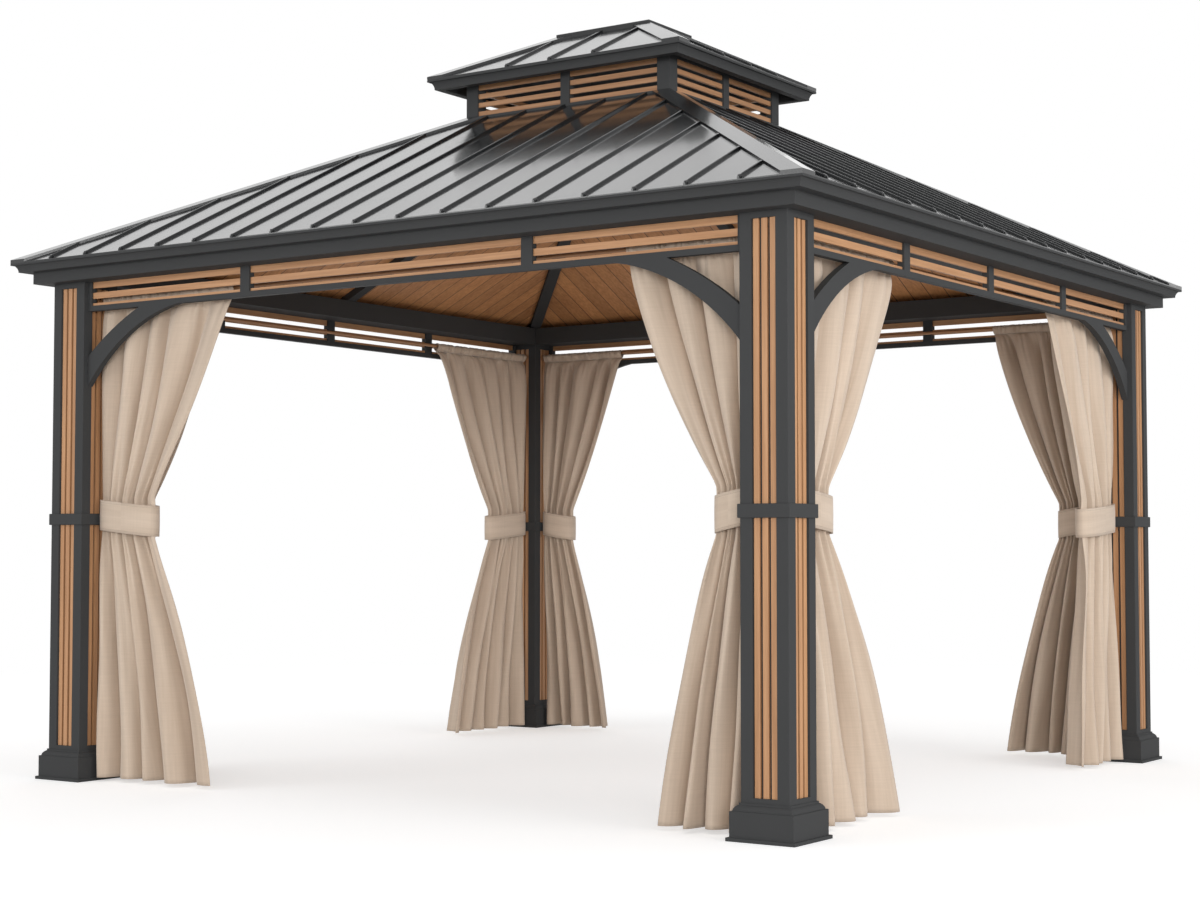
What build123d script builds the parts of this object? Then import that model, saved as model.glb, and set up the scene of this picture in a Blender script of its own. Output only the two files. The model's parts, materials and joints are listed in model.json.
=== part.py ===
from build123d import *
import os
from math import asin, atan, cos, radians, sin, sqrt, tan

# Garden gazebo: four slatted posts, a hipped metal roof with a louvred cupola, and tied curtains.
# Millimetres, +Z up, origin on the ground at the middle of the plan; the front wall faces -Y.

# Plan and posts
post_span_x = 3759
post_span_y = 3610
post_width = 196
post_corner_radius = 3
post_wall = 4
fit_gap = 0.3
overrun = 60

# Slatted panels in the post faces
panel_width = 98
panel_depth = 18
panel_bottom_rail = 18
panel_top_rail = 24
post_slat_width = 23
post_slat_gap = 11
post_slat_thickness = 10
slats_per_face = 3

# Post foot covers and collars
foot_flange_outset = 40
foot_flange_height = 13
foot_block_outset = 30
foot_block_top = 104
foot_ledge = 8
foot_collar_outset = 5
foot_collar_bottom = 126
foot_height = 133
foot_cove_sag = 4
foot_wall = 4
band_height = 50
band_outset = 7
band_middle = 1152
band_chamfer = 2

# Beams on the post heads
beam_underside = 2207
beam_height = 93
beam_outset = 65
beam_wall = 5

# Frieze under each beam
frieze_setback = 25
frieze_depth = 30
frieze_height = 130
frieze_rail_height = 23
frieze_end_stile = 20
frieze_mullion_width = 52
front_mullion_place = 733
side_bays = 4
frieze_slat_height = 27
frieze_slat_clearance = 1
frieze_slat_thickness = 12
frieze_slat_count = 3
frieze_groove_depth = 15

# Arched braces between the posts and the frieze rails
brace_outer_leg = 555
brace_outer_drop = 335
brace_outer_bow = 62
brace_inner_leg = 320
brace_inner_drop = 203
brace_inner_bow = 14

# Main roof
roof_pitch = 26.5
eave_outset = 136
eave_drop = 3
roof_sheet = 4
seam_pitch = 220
shortest_seam = 9
seam_width = 8
seam_height = 8
cap_flange_width = 63
cap_edge = 4
cap_sheet = 3
hip_joint_gap = 2

# Eave trim
trim_foot_drop = 39
trim_foot_setback = 25
trim_lip_height = 9
trim_lip_depth = 11
trim_cove_sag = 4
trim_wall = 3

# Rafters and board ceiling
rafter_width = 60
rafter_depth = 160
rafter_tail_setback = 6
ceiling_drop = 110
ceiling_board = 12

# Cupola
cupola_short_span = 975
ring_width = 60
ring_drop = 6
cupola_post = 65
cupola_mullion = 48
cupola_wall_depth = 40
cupola_sill_height = 12
cupola_slat_height = 22
cupola_slat_pitch = 41
cupola_slat_count = 4
cupola_slat_thickness = 12
cupola_slat_setback = 8
cupola_head_height = 76

# Upper roof
upper_eave_overhang = 132
upper_seam_pitch = 238
upper_shortest_seam = 150
upper_trim_drop = 44
upper_trim_depth = 62
upper_lining = 12
cap_plate_inset = 433
cap_plate_height = 23
cap_plate_sheet = 4
cap_plate_lap = 30

# Curtain rods, curtains and tiebacks
rod_setback = 115
rod_drop = 71
rod_radius = 8
rod_cup_radius = 18
rod_cup_stand = 4
curtain_depth = 96
curtain_hem_depth = 170
curtain_header = 16
curtain_hem_height = 12
tie_drop = 69
tie_height = 155
tie_sheet = 4
foot_clearance = 5
wide_top_width = 815
wide_tie_width = 340
wide_hem_width = 700
tight_tie_width = 295
loose_tie_width = 395
narrow_top_width = 545
narrow_tie_width = 205
narrow_hem_width = 430
slim_tie_width = 150
wide_curtain = {"top": wide_top_width, "tie": wide_tie_width, "hem": wide_hem_width}
tight_curtain = {"top": wide_top_width, "tie": tight_tie_width, "hem": wide_hem_width}
loose_curtain = {"top": wide_top_width, "tie": loose_tie_width, "hem": wide_hem_width}
narrow_curtain = {"top": narrow_top_width, "tie": narrow_tie_width, "hem": narrow_hem_width}
slim_curtain = {"top": narrow_top_width, "tie": slim_tie_width, "hem": narrow_hem_width}
curtain_sizes = {
    ("front", "left"): wide_curtain,
    ("front", "right"): slim_curtain,
    ("right", "left"): tight_curtain,
    ("right", "right"): loose_curtain,
    ("back", "left"): narrow_curtain,
    ("back", "right"): narrow_curtain,
    ("left", "left"): wide_curtain,
    ("left", "right"): wide_curtain,
}

# Derived plan and levels
half_x = post_span_x / 2
half_y = post_span_y / 2
slope = tan(radians(roof_pitch))
root_two = sqrt(2)
cupola_inset = (min(post_span_x, post_span_y) - cupola_short_span) / 2
cupola_span_x = post_span_x - 2 * cupola_inset
cupola_span_y = post_span_y - 2 * cupola_inset
beam_top = beam_underside + beam_height
eave_height = beam_top - eave_drop
upper_eave_out = upper_eave_overhang - cupola_inset
cap_plate_out = upper_eave_out - cap_plate_inset
walls = {
    "front": (0, half_y, half_x),
    "right": (90, half_x, half_y),
    "back": (180, half_y, half_x),
    "left": (270, half_x, half_y),
}
corners = {
    "front_left": (-1, -1),
    "front_right": (1, -1),
    "back_right": (1, 1),
    "back_left": (-1, 1),
}
ends = {"left": -1, "right": 1}
on_floor = (Align.CENTER, Align.CENTER, Align.MIN)


# Roof levels at a distance outside the post faces, and a sheet's thickness measured plumb
def main_under(out):
    return eave_height + (eave_outset - out) * slope


def upper_under(out):
    return upper_eave_height + (upper_eave_out - out) * slope


def plumb(thickness):
    return thickness / cos(radians(roof_pitch))


# A wall's own frame: x along the wall, -y outwards from the post faces
def on_wall(wall, shape):
    turn, distance, _ = walls[wall]
    return Rot(0, 0, turn) * Pos(0, -distance, 0) * shape


def section(points):
    outline = Polyline(*[(-out, height) for out, height in points], close=True)
    return Plane.YZ * make_face(outline)


def mitre(shape, half_length):
    for end in ends.values():
        cut = Plane(origin=(end * half_length, 0, 0), z_dir=(-end, -1, 0))
        shape = split(shape, bisect_by=cut, keep=Keep.TOP)
    return shape


def mitred_run(face, half_length):
    reach = half_length + eave_outset + overrun
    return mitre(extrude(face, amount=reach, both=True), half_length)


def mitred_ring(face):
    return Part() + [on_wall(wall, mitred_run(face, walls[wall][2])) for wall in walls]


def plan_box(side_x, side_y, bottom, top):
    return Pos(0, 0, bottom) * Box(side_x, side_y, top - bottom, align=on_floor)


def span_box(outset, bottom, top):
    return plan_box(post_span_x + 2 * outset, post_span_y + 2 * outset, bottom, top)


def in_all_corners(shape):
    pair = [shape, mirror(shape, about=Plane.YZ)]
    return pair + [mirror(one, about=Plane.XZ) for one in pair]


def save(name, shapes):
    listed = shapes if isinstance(shapes, list) else [shapes]
    solids = [solid for shape in listed for solid in shape.solids()]
    whole = Compound(children=solids) if len(solids) > 1 else solids[0]
    export_step(whole, f"parts/{name}.step")


# Posts: square tubes with a sunk panel in each face, and three upright slats in each panel
post_inset = post_width / 2
panel_bottom = foot_height + panel_bottom_rail
panel_height = beam_underside - panel_top_rail - panel_bottom
core_width = post_width - 2 * (panel_depth + post_wall)


def at_post(corner, shape):
    side_x, side_y = corners[corner]
    return Pos(side_x * (half_x - post_inset), side_y * (half_y - post_inset), 0) * shape


def on_post_faces(shape):
    return [Rot(0, 0, turn) * shape for turn, _, _ in walls.values()]


def post():
    outline = fillet(Rectangle(post_width, post_width).vertices(), post_corner_radius)
    tube = extrude(outline - Rectangle(core_width, core_width), amount=beam_underside)
    panel = Box(panel_width, panel_depth, panel_height, align=(Align.CENTER, Align.MIN, Align.MIN))
    return tube - on_post_faces(Pos(0, -post_inset, panel_bottom) * panel)


def post_slats():
    slat = Box(post_slat_width, post_slat_thickness, panel_height, align=(Align.CENTER, Align.MAX, Align.MIN))
    pitch = post_slat_width + post_slat_gap
    first = -pitch * (slats_per_face - 1) / 2
    seat = panel_depth - post_inset
    row = [Pos(first + index * pitch, seat, panel_bottom) * slat for index in range(slats_per_face)]
    return [turned for one in row for turned in on_post_faces(one)]


# Foot covers: a moulded profile with a ledge and a cove on all four sides, hollow, slipped over the post
def foot_cover():
    half = post_inset
    flange = half + foot_flange_outset
    block = half + foot_block_outset
    collar = half + foot_collar_outset
    ledge = (block - foot_ledge, foot_block_top)
    cove = SagittaArc(ledge, (collar, foot_collar_bottom), -foot_cove_sag)
    right = Polyline(
        (0, 0),
        (flange, 0),
        (flange, foot_flange_height),
        (block, foot_flange_height),
        (block, foot_block_top),
        ledge,
    )
    head = Polyline((collar, foot_collar_bottom), (collar, foot_height), (0, foot_height), (0, 0))
    profile = make_face(right + cove + head)
    profile = profile + mirror(profile, about=Plane.YZ)
    prism = extrude(Plane.XZ * profile, amount=flange, both=True)
    cover = prism & Rot(0, 0, 90) * prism
    bore = post_width + 2 * fit_gap
    cavity = 2 * (block - foot_wall)
    return cover - plan_box(bore, bore, 0, foot_height) - plan_box(cavity, cavity, 0, foot_block_top - foot_wall)


def post_band():
    outer = post_width + 2 * band_outset
    inner = post_width + 2 * fit_gap
    block = Pos(0, 0, band_middle) * Box(outer, outer, band_height)
    rims = block.edges().filter_by(Plane.XY)
    block = chamfer(rims, band_chamfer)
    return block - plan_box(inner, inner, 0, beam_underside)


# Beams: mitred box tubes from the post's inner face to the outset fascia
def beam(half_length):
    outside = [
        (-post_width, beam_underside),
        (beam_outset, beam_underside),
        (beam_outset, beam_top),
        (-post_width, beam_top),
    ]
    inside = [
        (beam_wall - post_width, beam_underside + beam_wall),
        (beam_outset - beam_wall, beam_underside + beam_wall),
        (beam_outset - beam_wall, beam_top - beam_wall),
        (beam_wall - post_width, beam_top - beam_wall),
    ]
    return mitred_run(section(outside) - section(inside), half_length)


# Frieze: grooved bottom rail, end stiles and mullions, with level slats let in between them
frieze_middle = frieze_setback + frieze_depth / 2
frieze_rail_bottom = beam_underside - frieze_height
frieze_rail_top = frieze_rail_bottom + frieze_rail_height
lowest_slat = frieze_rail_top - frieze_groove_depth
highest_slat = beam_underside - frieze_slat_clearance - frieze_slat_height
frieze_slat_pitch = (highest_slat - lowest_slat) / (frieze_slat_count - 1)


def clear_half(half_length):
    return half_length - post_width


def mullion_places(wall, half_length):
    if wall in ("front", "back"):
        return [-front_mullion_place, front_mullion_place]
    bay = 2 * clear_half(half_length) / side_bays
    return [bay * index - clear_half(half_length) for index in range(1, side_bays)]


def frieze_frame(wall, half_length):
    clear = clear_half(half_length)
    rail = Box(2 * clear, frieze_depth, frieze_rail_height, align=on_floor)
    groove_width = frieze_slat_thickness + 2 * fit_gap
    groove = Box(2 * clear, groove_width, frieze_groove_depth, align=(Align.CENTER, Align.CENTER, Align.MAX))
    frame = Pos(0, frieze_middle, frieze_rail_bottom) * rail - Pos(0, frieze_middle, frieze_rail_top) * groove
    upright_height = beam_underside - frieze_rail_bottom
    stile = Box(frieze_end_stile, frieze_depth, upright_height, align=on_floor)
    mullion = Box(frieze_mullion_width, frieze_depth, upright_height, align=on_floor)
    stile_place = clear - frieze_end_stile / 2
    uprights = [Pos(end * stile_place, frieze_middle, frieze_rail_bottom) * stile for end in ends.values()]
    uprights += [
        Pos(place, frieze_middle, frieze_rail_bottom) * mullion for place in mullion_places(wall, half_length)
    ]
    return frame + uprights


def frieze_slats(wall, half_length):
    half_mullion = frieze_mullion_width / 2
    inner_end = clear_half(half_length) - frieze_end_stile
    places = mullion_places(wall, half_length)
    starts = [-inner_end] + [place + half_mullion for place in places]
    stops = [place - half_mullion for place in places] + [inner_end]
    slats = []
    for start, stop in zip(starts, stops):
        slat = Box(stop - start, frieze_slat_thickness, frieze_slat_height, align=on_floor)
        for row in range(frieze_slat_count):
            height = lowest_slat + row * frieze_slat_pitch
            slats.append(Pos((start + stop) / 2, frieze_middle, height) * slat)
    return slats


# Corner braces: flat arched bars that meet the post side and the rail underside
def brace(half_length, end):
    outer = SagittaArc((0, -brace_outer_drop), (brace_outer_leg, 0), brace_outer_bow)
    rail_seat = Line((brace_outer_leg, 0), (brace_inner_leg, 0))
    inner = SagittaArc((brace_inner_leg, 0), (0, -brace_inner_drop), -brace_inner_bow)
    post_seat = Line((0, -brace_inner_drop), (0, -brace_outer_drop))
    plate = extrude(Plane.XZ * make_face(outer + rail_seat + inner + post_seat), amount=-frieze_depth)
    bar = Pos(-clear_half(half_length), frieze_setback, frieze_rail_bottom) * plate
    return bar if end < 0 else mirror(bar, about=Plane.YZ)


# Eave trim: hollow moulding with a coved face, a drip lip and a top that follows the roof
def trim_section(lip_out, lip_top, foot_drop, depth):
    back = lip_out - depth
    foot = lip_out - trim_foot_setback
    foot_height_here = lip_top - foot_drop
    lip_bottom = lip_top - trim_lip_height
    lip_in = lip_out - trim_lip_depth
    cove = SagittaArc((-foot, foot_height_here), (-lip_in, lip_bottom), -trim_cove_sag)
    crown = Polyline(
        (-lip_in, lip_bottom),
        (-lip_out, lip_bottom),
        (-lip_out, lip_top),
        (-back, lip_top + depth * slope),
        (-back, foot_height_here),
        (-foot, foot_height_here),
    )
    outside = make_face(cove + crown)
    inside = offset(outside, amount=-trim_wall, kind=Kind.INTERSECTION)
    return Plane.YZ * (outside - inside)


# Hip geometry: the hip line climbs at 45 degrees in plan, and the roof falls away on both sides of it
hip_slope = slope / root_two
hip_fall = tan(asin(sin(radians(roof_pitch)) / root_two))
hip_lean = cos(atan(hip_slope))


def hip_bar(points, level, low_out):
    start = Plane(
        origin=(half_x + low_out, -half_y - low_out, level(low_out)), x_dir=(-1, -1, 0), z_dir=(-1, 1, slope)
    )
    length = (low_out + min(half_x, half_y)) * root_two / hip_lean
    return extrude(start * make_face(Polyline(*points, close=True)), amount=length)


def roof_panel(level, low_out, high_out, seam_stop, half_length, joint, pitch, shortest_seam):
    thickness = plumb(roof_sheet)
    flat = [
        (low_out, level(low_out)),
        (high_out, level(high_out)),
        (high_out, level(high_out) + thickness),
        (low_out, level(low_out) + thickness),
    ]
    sheet = mitred_run(section(flat), half_length - joint)
    standing = thickness + plumb(seam_height)
    rib = [
        (low_out, level(low_out)),
        (seam_stop, level(seam_stop)),
        (seam_stop, level(seam_stop) + standing),
        (low_out, level(low_out) + standing),
    ]
    blank = extrude(section(rib), amount=seam_width / 2, both=True)
    clear_of_cap = half_length - (cap_flange_width + fit_gap) * root_two
    count = int((clear_of_cap + low_out - shortest_seam) / pitch)
    seams = [mitre(Pos(index * pitch, 0, 0) * blank, clear_of_cap) for index in range(-count, count + 1)]
    return sheet + seams


def gable(half_width, ridge, foot):
    fall = half_width * hip_fall
    right = [(half_width, ridge - fall), (half_width, foot - fall)]
    left = [(-across, height) for across, height in reversed(right)]
    return [(0, ridge)] + right + [(0, foot)] + left


# A folded cap stands over the seams on its two edges, and its lower end is closed at the eave
def hip_cap(level, low_out):
    lift = (plumb(seam_height) + fit_gap) * hip_lean
    blank = hip_bar(gable(cap_flange_width, lift + cap_sheet, 0), level, low_out)
    hollow = hip_bar(gable(cap_flange_width - cap_edge, lift, -overrun), level, low_out)
    blank = blank & span_box(low_out, 0, 2 * upper_eave_height)
    hollow = hollow & span_box(low_out - cap_sheet, 0, 2 * upper_eave_height)
    return Pos(0, 0, plumb(roof_sheet)) * (blank - hollow)


# Rafters: hip rafters with backed tops and common rafters, seated on the beams
rafter_tail = beam_outset - rafter_tail_setback


def above_beams(shape):
    return shape - span_box(eave_outset + overrun, 0, beam_top)


def hip_rafters():
    half = rafter_width / 2
    drop = rafter_depth * hip_lean
    points = [(0, 0), (half, -half * hip_fall), (half, -drop), (-half, -drop), (-half, -half * hip_fall)]
    bar = hip_bar(points, main_under, eave_outset)
    bar = bar & span_box(rafter_tail, beam_top, upper_eave_height)
    bar = bar - plan_box(cupola_span_x, cupola_span_y, 0, upper_eave_height)
    return in_all_corners(bar)


def common_rafter():
    points = [
        (rafter_tail, main_under(rafter_tail)),
        (-cupola_inset, main_under(-cupola_inset)),
        (-cupola_inset, main_under(-cupola_inset) - rafter_depth),
        (rafter_tail, main_under(rafter_tail) - rafter_depth),
    ]
    return above_beams(extrude(section(points), amount=rafter_width / 2, both=True))


def ceiling_panels(half_length):
    top = ceiling_drop
    bottom = ceiling_drop + ceiling_board
    points = [
        (rafter_tail, main_under(rafter_tail) - top),
        (-cupola_inset, main_under(-cupola_inset) - top),
        (-cupola_inset, main_under(-cupola_inset) - bottom),
        (rafter_tail, main_under(rafter_tail) - bottom),
    ]
    boards = mitred_run(section(points), half_length - rafter_width * root_two / 2)
    rafter_slot = Box(rafter_width, post_span_y, upper_eave_height, align=on_floor)
    return above_beams(boards - rafter_slot)


# Cupola: a ring beam in the roof opening, a framed wall on it, and level louvre slats
ring_top = main_under(-cupola_inset)
ring_bottom = ring_top - rafter_depth - ring_drop
sill_top = ring_top + plumb(roof_sheet) + cupola_sill_height
slat_rise = (cupola_slat_count - 1) * cupola_slat_pitch + cupola_slat_height
head_bottom = sill_top + slat_rise
lining_drop = plumb(upper_lining)
upper_eave_height = head_bottom + cupola_head_height + lining_drop - upper_eave_overhang * slope


def cupola_ring():
    hole = plan_box(cupola_span_x - 2 * ring_width, cupola_span_y - 2 * ring_width, ring_bottom, ring_top)
    return plan_box(cupola_span_x, cupola_span_y, ring_bottom, ring_top) - hole


def cupola_rail(bottom, top_outer, top_inner):
    outer = -cupola_inset
    inner = outer - cupola_wall_depth
    return mitred_ring(section([(outer, bottom), (outer, top_outer), (inner, top_inner), (inner, bottom)]))


def cupola_frame():
    outer = -cupola_inset
    inner = outer - cupola_wall_depth
    sill = cupola_rail(ring_top, sill_top, sill_top)
    head = cupola_rail(head_bottom, upper_under(outer) - lining_drop, upper_under(inner) - lining_drop)
    upright = head_bottom - ring_top
    side = (cupola_span_x - cupola_post) / 2
    deep = (cupola_span_y - cupola_post) / 2
    post_block = Pos(side, -deep, ring_top) * Box(cupola_post, cupola_post, upright, align=on_floor)
    mullion = Box(cupola_mullion, cupola_wall_depth, upright, align=(Align.CENTER, Align.MIN, Align.MIN))
    mullions = [on_wall(wall, Pos(0, cupola_inset, ring_top) * mullion) for wall in walls]
    return sill + head + in_all_corners(post_block) + mullions


def cupola_slats(wall):
    half_length = walls[wall][2] - cupola_inset
    start = cupola_mullion / 2
    stop = half_length - cupola_post
    slat = Box(stop - start, cupola_slat_thickness, cupola_slat_height, align=(Align.CENTER, Align.MIN, Align.MIN))
    depth = cupola_inset + cupola_slat_setback
    rows = [sill_top + row * cupola_slat_pitch for row in range(cupola_slat_count)]
    middle = (start + stop) / 2
    return [on_wall(wall, Pos(end * middle, depth, row) * slat) for row in rows for end in ends.values()]


# Upper roof: the same sheets and seams on a dark lining, closed by a flat cap plate
def upper_panel(half_length):
    high_out = cap_plate_out - cap_plate_lap
    seam_stop = cap_plate_out + fit_gap
    return roof_panel(
        upper_under,
        upper_eave_out,
        high_out,
        seam_stop,
        half_length,
        hip_joint_gap,
        upper_seam_pitch,
        upper_shortest_seam,
    )


def upper_lining_panel(half_length):
    low_out = upper_eave_out - upper_trim_depth
    high_out = cap_plate_out - cap_plate_lap
    points = [
        (low_out, upper_under(low_out)),
        (high_out, upper_under(high_out)),
        (high_out, upper_under(high_out) - lining_drop),
        (low_out, upper_under(low_out) - lining_drop),
    ]
    return mitred_run(section(points), half_length - hip_joint_gap)


def cap_plate():
    skirt_in = cap_plate_out - cap_plate_sheet
    rest = upper_under(cap_plate_out) + plumb(roof_sheet)
    inner_rest = upper_under(skirt_in) + plumb(roof_sheet)
    top = rest + cap_plate_height
    skirt = section([(cap_plate_out, rest), (cap_plate_out, top), (skirt_in, top), (skirt_in, inner_rest)])
    lid = span_box(cap_plate_out, top - cap_plate_sheet, top)
    return mitred_ring(skirt) + lid


def upper_hip_caps():
    bar = hip_cap(upper_under, upper_eave_out)
    return in_all_corners(bar - span_box(cap_plate_out + fit_gap, 0, 2 * upper_eave_height))


def main_hip_caps():
    bar = hip_cap(main_under, eave_outset)
    return in_all_corners(bar - plan_box(cupola_span_x, cupola_span_y, 0, 2 * upper_eave_height))


# Curtain rods, curtains with a rod pocket, and the tieback bands round their waists
slat_seat = panel_depth - post_slat_thickness
curtain_gap = band_outset + 2 * fit_gap + tie_sheet + fit_gap
hem_gap = foot_flange_outset + foot_clearance
tie_bottom = band_middle - tie_drop
tie_top = tie_bottom + tie_height
rod_height = beam_underside - rod_drop
curtain_top = rod_height + curtain_header


def rod_line(length, radius, start):
    return Pos(start, rod_setback, rod_height) * Rot(0, 90, 0) * Cylinder(radius, length, align=on_floor)


def curtain_rod(half_length):
    half = clear_half(half_length) + slat_seat
    cup = slat_seat + rod_cup_stand
    rod = rod_line(2 * half, rod_radius, -half)
    return rod + [rod_line(cup, rod_cup_radius, -half), rod_line(cup, rod_cup_radius, half - cup)]


def waist(width, depth, gap, height, half_length, end):
    middle = end * (clear_half(half_length) - gap - width / 2)
    return Pos(middle, rod_setback, height) * SlotOverall(width, depth)


def curtain(size, half_length, end):
    layers = [
        waist(size["hem"], curtain_hem_depth, hem_gap, curtain_hem_height, half_length, end),
        waist(size["tie"], curtain_depth, curtain_gap, tie_bottom, half_length, end),
        waist(size["tie"], curtain_depth, curtain_gap, tie_top, half_length, end),
        waist(size["top"], curtain_depth, curtain_gap, curtain_top, half_length, end),
    ]
    pocket = rod_line(2 * half_length, rod_radius + fit_gap, -half_length)
    return loft(layers, ruled=True) - pocket


def tieback(size, half_length, end):
    loop = fit_gap + tie_sheet
    outer = waist(size["tie"] + 2 * loop, curtain_depth + 2 * loop, curtain_gap - loop, tie_bottom, half_length, end)
    inner = waist(
        size["tie"] + 2 * fit_gap, curtain_depth + 2 * fit_gap, curtain_gap - fit_gap, tie_bottom, half_length, end
    )
    return extrude(outer - inner, amount=tie_height)


# Build every piece
os.makedirs("parts", exist_ok=True)

for corner in corners:
    save(f"post_{corner}", at_post(corner, post()))
    save(f"post_foot_{corner}", at_post(corner, foot_cover()))
save("post_slats", [at_post(corner, slat) for corner in corners for slat in post_slats()])
save("post_bands", [at_post(corner, post_band()) for corner in corners])

for wall, (_, _, half_length) in walls.items():
    save(f"beam_{wall}", on_wall(wall, beam(half_length)))
    save(f"frieze_frame_{wall}", on_wall(wall, frieze_frame(wall, half_length)))
    save(f"frieze_slats_{wall}", [on_wall(wall, slat) for slat in frieze_slats(wall, half_length)])
    trim = mitred_run(
        trim_section(eave_outset, eave_height, trim_foot_drop, eave_outset - beam_outset), half_length
    )
    save(f"eave_trim_{wall}", on_wall(wall, trim))
    panel = roof_panel(
        main_under, eave_outset, -cupola_inset, -cupola_inset, half_length, 0, seam_pitch, shortest_seam
    )
    save(f"roof_panel_{wall}", on_wall(wall, panel))
    for side, end in ends.items():
        size = curtain_sizes[wall, side]
        save(f"curtain_{wall}_{side}", on_wall(wall, curtain(size, half_length, end)))

save(
    "corner_braces",
    [on_wall(wall, brace(walls[wall][2], end)) for wall in walls for end in ends.values()],
)
save("roof_hip_caps", main_hip_caps())
save("hip_rafters", hip_rafters())
save("common_rafters", [on_wall(wall, common_rafter()) for wall in walls])
save("ceiling_boards", [on_wall(wall, ceiling_panels(walls[wall][2])) for wall in walls])
save("cupola_ring", cupola_ring())
save("cupola_frame", cupola_frame())
save("cupola_slats", [slat for wall in walls for slat in cupola_slats(wall)])
save("upper_roof", [on_wall(wall, upper_panel(walls[wall][2])) for wall in walls])
save("upper_lining", [on_wall(wall, upper_lining_panel(walls[wall][2])) for wall in walls])
save("upper_hip_caps", upper_hip_caps())
save(
    "upper_eave_trim",
    mitred_ring(trim_section(upper_eave_out, upper_eave_height, upper_trim_drop, upper_trim_depth)),
)
save("roof_cap_plate", cap_plate())
save("curtain_rods", [on_wall(wall, curtain_rod(walls[wall][2])) for wall in walls])
save(
    "tiebacks",
    [
        on_wall(wall, tieback(size, walls[wall][2], ends[side]))
        for (wall, side), size in curtain_sizes.items()
    ],
)
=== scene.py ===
import json
import math
import bmesh
import bpy
from mathutils import Matrix, Vector


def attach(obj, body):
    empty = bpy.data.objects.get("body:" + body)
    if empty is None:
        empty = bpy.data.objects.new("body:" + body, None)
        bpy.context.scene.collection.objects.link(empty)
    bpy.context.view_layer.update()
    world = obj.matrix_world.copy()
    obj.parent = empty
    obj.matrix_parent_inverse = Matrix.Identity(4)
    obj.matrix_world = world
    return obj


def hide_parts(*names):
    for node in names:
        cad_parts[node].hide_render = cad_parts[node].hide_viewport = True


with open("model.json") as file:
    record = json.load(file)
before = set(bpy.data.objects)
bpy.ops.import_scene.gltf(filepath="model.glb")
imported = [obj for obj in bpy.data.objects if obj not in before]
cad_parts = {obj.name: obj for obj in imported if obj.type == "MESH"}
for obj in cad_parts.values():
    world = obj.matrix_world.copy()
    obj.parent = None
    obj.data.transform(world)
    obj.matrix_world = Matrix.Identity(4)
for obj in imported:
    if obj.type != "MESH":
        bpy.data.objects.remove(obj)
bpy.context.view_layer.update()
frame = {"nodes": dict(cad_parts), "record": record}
nodes = frame["nodes"]
print("frame loaded:", len(nodes), "nodes")

# the wall frames of the gazebo: x along the wall, -y outwards from the post faces
wallTurns = {"front": 0, "right": 90, "back": 180, "left": 270}
plan = {"halfX": 1.8795, "halfY": 1.805, "postWidth": 0.196, "pitch": 26.5}
sideSigns = {"left": -1, "right": 1}


def wallHalf(wall):
    return plan["halfX"] if wall in ("front", "back") else plan["halfY"]


def wallFrame(wall):
    distance = plan["halfY"] if wall in ("front", "back") else plan["halfX"]
    return Matrix.Rotation(math.radians(wallTurns[wall]), 4, "Z") @ Matrix.Translation((0, -distance, 0))


def addPiece(name, bm, material):
    mesh = bpy.data.meshes.new(name)
    bm.to_mesh(mesh)
    bm.free()
    mesh.materials.append(material)
    piece = bpy.data.objects.new(name, mesh)
    bpy.context.scene.collection.objects.link(piece)
    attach(piece, "root")
    return piece


# node helpers
def addNode(tree, kind, **values):
    node = tree.nodes.new(kind)
    for key, value in values.items():
        setattr(node, key, value)
    return node


def setInputs(node, **values):
    for key, value in values.items():
        node.inputs[key].default_value = value


def joinSockets(tree, *pairs):
    for source, target in pairs:
        tree.links.new(source, target)


def mathNode(tree, operation, first, second=None, third=None):
    node = addNode(tree, "ShaderNodeMath", operation=operation)
    for socket, value in zip(node.inputs, (first, second, third)):
        if value is None:
            continue
        if isinstance(value, bpy.types.NodeSocket):
            tree.links.new(value, socket)
        else:
            socket.default_value = value
    return node.outputs[0]


def mixColour(tree, share, first, second, blend="MIX"):
    node = addNode(tree, "ShaderNodeMix", data_type="RGBA", blend_type=blend)
    for socket, value in ((node.inputs[0], share), (node.inputs[6], first), (node.inputs[7], second)):
        if isinstance(value, bpy.types.NodeSocket):
            tree.links.new(value, socket)
        else:
            socket.default_value = value
    return node.outputs[2]


def noiseField(tree, vector, scale, detail, roughness, stretch=None):
    if stretch:
        spread = addNode(tree, "ShaderNodeMapping")
        spread.inputs["Scale"].default_value = stretch
        tree.links.new(vector, spread.inputs["Vector"])
        vector = spread.outputs[0]
    field = addNode(tree, "ShaderNodeTexNoise")
    setInputs(field, Scale=scale, Detail=detail, Roughness=roughness)
    tree.links.new(vector, field.inputs["Vector"])
    return field.outputs["Fac"]


def remap(tree, value, low, high, toLow, toHigh):
    node = addNode(tree, "ShaderNodeMapRange")
    for socket, setting in zip(node.inputs[1:5], (low, high, toLow, toHigh)):
        socket.default_value = setting
    tree.links.new(value, node.inputs[0])
    return node.outputs[0]


def newGroup(name, inputs, outputs):
    tree = bpy.data.node_groups.new(name, "ShaderNodeTree")
    kinds = {"vector": "NodeSocketVector", "colour": "NodeSocketColor", "value": "NodeSocketFloat"}
    for label, kind in inputs:
        tree.interface.new_socket(name=label, in_out="INPUT", socket_type=kinds[kind])
    for label, kind in outputs:
        tree.interface.new_socket(name=label, in_out="OUTPUT", socket_type=kinds[kind])
    return tree, addNode(tree, "NodeGroupInput"), addNode(tree, "NodeGroupOutput")


def placeGroup(tree, group):
    return addNode(tree, "ShaderNodeGroup", node_tree=group)


def newMaterial(name):
    material = bpy.data.materials.new(name)
    material.use_nodes = True
    tree = material.node_tree
    return material, tree, tree.nodes["Principled BSDF"]


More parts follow.
